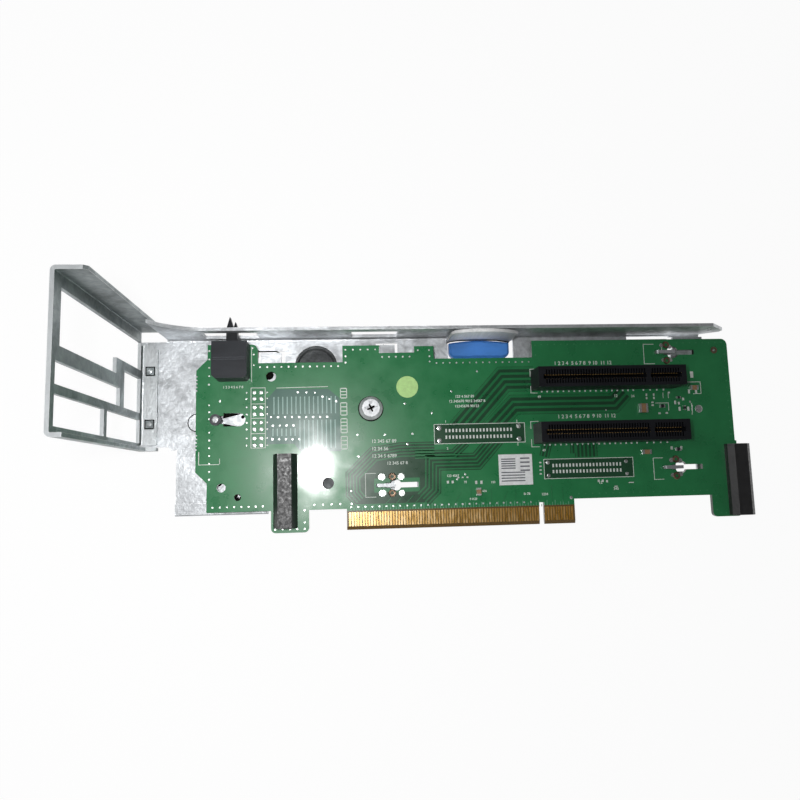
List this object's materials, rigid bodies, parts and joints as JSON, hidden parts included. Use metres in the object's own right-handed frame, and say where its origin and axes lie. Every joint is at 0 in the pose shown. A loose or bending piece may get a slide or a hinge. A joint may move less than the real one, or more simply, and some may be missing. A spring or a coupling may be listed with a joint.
{
  "type": "pcie riser board",
  "caption": "Riser board for two expansion cards on a folded steel carrier with a standing side frame, guide rails and a cover switch.",
  "frame": {"origin": "middle of the key notch at the tip of the card edge, on the component side of the board", "axes": "+X along the card edge towards the short contact group, +Y across the board away from the card edge, +Z out of the component side"},
  "size_m": [0.2306, 0.0789, 0.0792],
  "materials": {
    "sheet_steel": "zinc-plated sheet, fine spangle",
    "frame_steel": "zinc-plated sheet, rolled grain",
    "rivet_steel": "plated steel",
    "board_mask": "green solder mask on glass laminate",
    "gold": "gold-plated copper",
    "slot_plastic": "black glass-filled moulding",
    "contact_metal": "plated spring bronze",
    "guide_plastic": "black textured moulding",
    "screw_steel": "bright zinc",
    "switch_plastic": "black moulding",
    "spring_steel": "spring steel",
    "blue_plastic": "blue moulding, satin",
    "label_paper": "white film label",
    "dot_paper": "yellow-green film dot",
    "capacitor_ceramic": "tan ceramic",
    "resistor_ceramic": "dark coated ceramic"
  },
  "bodies": {
    "riser": {"carrier_plate": "sheet_steel", "side_frame": "frame_steel", "frame_rivets": "rivet_steel", "circuit_board": "board_mask", "edge_contacts_front": "gold", "edge_contacts_back": "gold", "upper_slot_housing": "slot_plastic", "lower_slot_housing": "slot_plastic", "upper_slot_contacts": "contact_metal", "lower_slot_contacts": "contact_metal", "left_guide": "guide_plastic", "right_guide": "guide_plastic", "board_standoff": "rivet_steel", "mounting_screw": "screw_steel", "keyhole_stud": "rivet_steel", "switch_housing": "switch_plastic", "switch_spring": "spring_steel", "switch_contacts": "contact_metal", "touch_pad": "blue_plastic", "label_sticker": "label_paper", "inspection_dot": "dot_paper", "chip_capacitors": "capacitor_ceramic", "chip_resistors": "resistor_ceramic"},
    "plunger": {"switch_plunger": "switch_plastic"}
  },
  "joints": [
    {"name": "plunger_travel", "type": "slide", "parent": "riser", "child": "plunger", "axis": [0, -1, 0], "range_m": [0, 0.003], "stiffness_N_per_m": 300, "springref_m": -0.001, "deforming": ["switch_spring"]}
  ]
}
